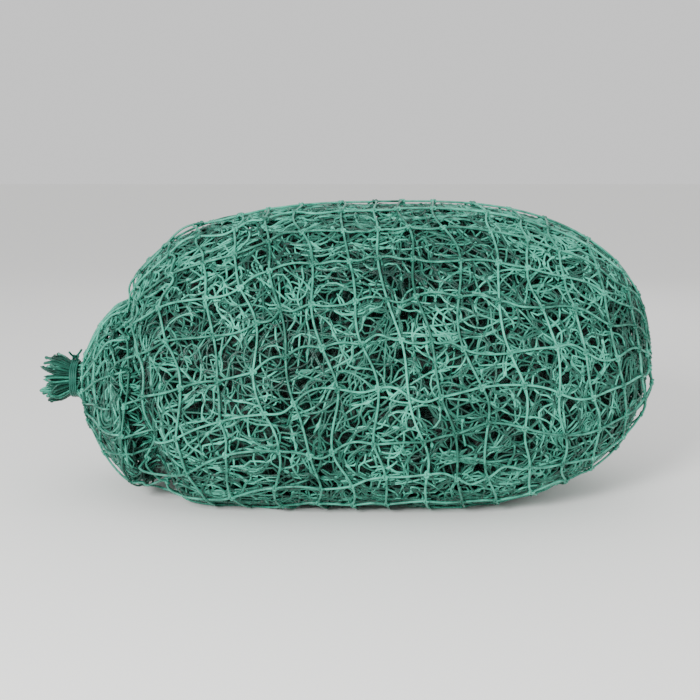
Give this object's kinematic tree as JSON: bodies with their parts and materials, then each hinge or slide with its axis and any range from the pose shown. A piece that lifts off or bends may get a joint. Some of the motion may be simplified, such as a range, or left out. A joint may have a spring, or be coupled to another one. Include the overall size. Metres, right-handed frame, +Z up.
{
  "type": "stowed climbing net",
  "caption": "Knotted square-mesh climbing net of green braided twine, packed into an oblong bundle wrapped in its own last turns, with a gathered mouth tied by a lashing.",
  "frame": {"origin": "under the middle of the whole bundle, on the surface that it lies on", "axes": "+X from the tied mouth towards the round end, +Z up, -Y the front"},
  "size_m": [0.6823, 0.3718, 0.3232],
  "materials": {
    "net_twine": "braided polyethylene twine, mid green, slightly waxy",
    "lashing_twine": "the same braided twine, wound tight and knotted"
  },
  "bodies": {
    "packed_body": {"bight_base": "net_twine", "bight_low_front": "net_twine", "bight_low_back": "net_twine", "bight_high_front": "net_twine", "bight_high_back": "net_twine", "bight_top": "net_twine", "wrap_hoops": "net_twine", "wrap_runs": "net_twine", "wrap_knots": "net_twine"},
    "mouth": {"mouth_gather": "net_twine", "mouth_tuft": "net_twine", "mouth_hoops": "net_twine", "mouth_runs": "net_twine", "mouth_knots": "net_twine", "lashing_turns": "lashing_twine", "lashing_knot": "lashing_twine"}
  },
  "joints": [
    {"name": "mouth_swing", "type": "hinge", "parent": "packed_body", "child": "mouth", "pos_m": [-0.1915, 0, 0.14], "axis": [0, 0, 1], "range_deg": [-12, 12]}
  ]
}
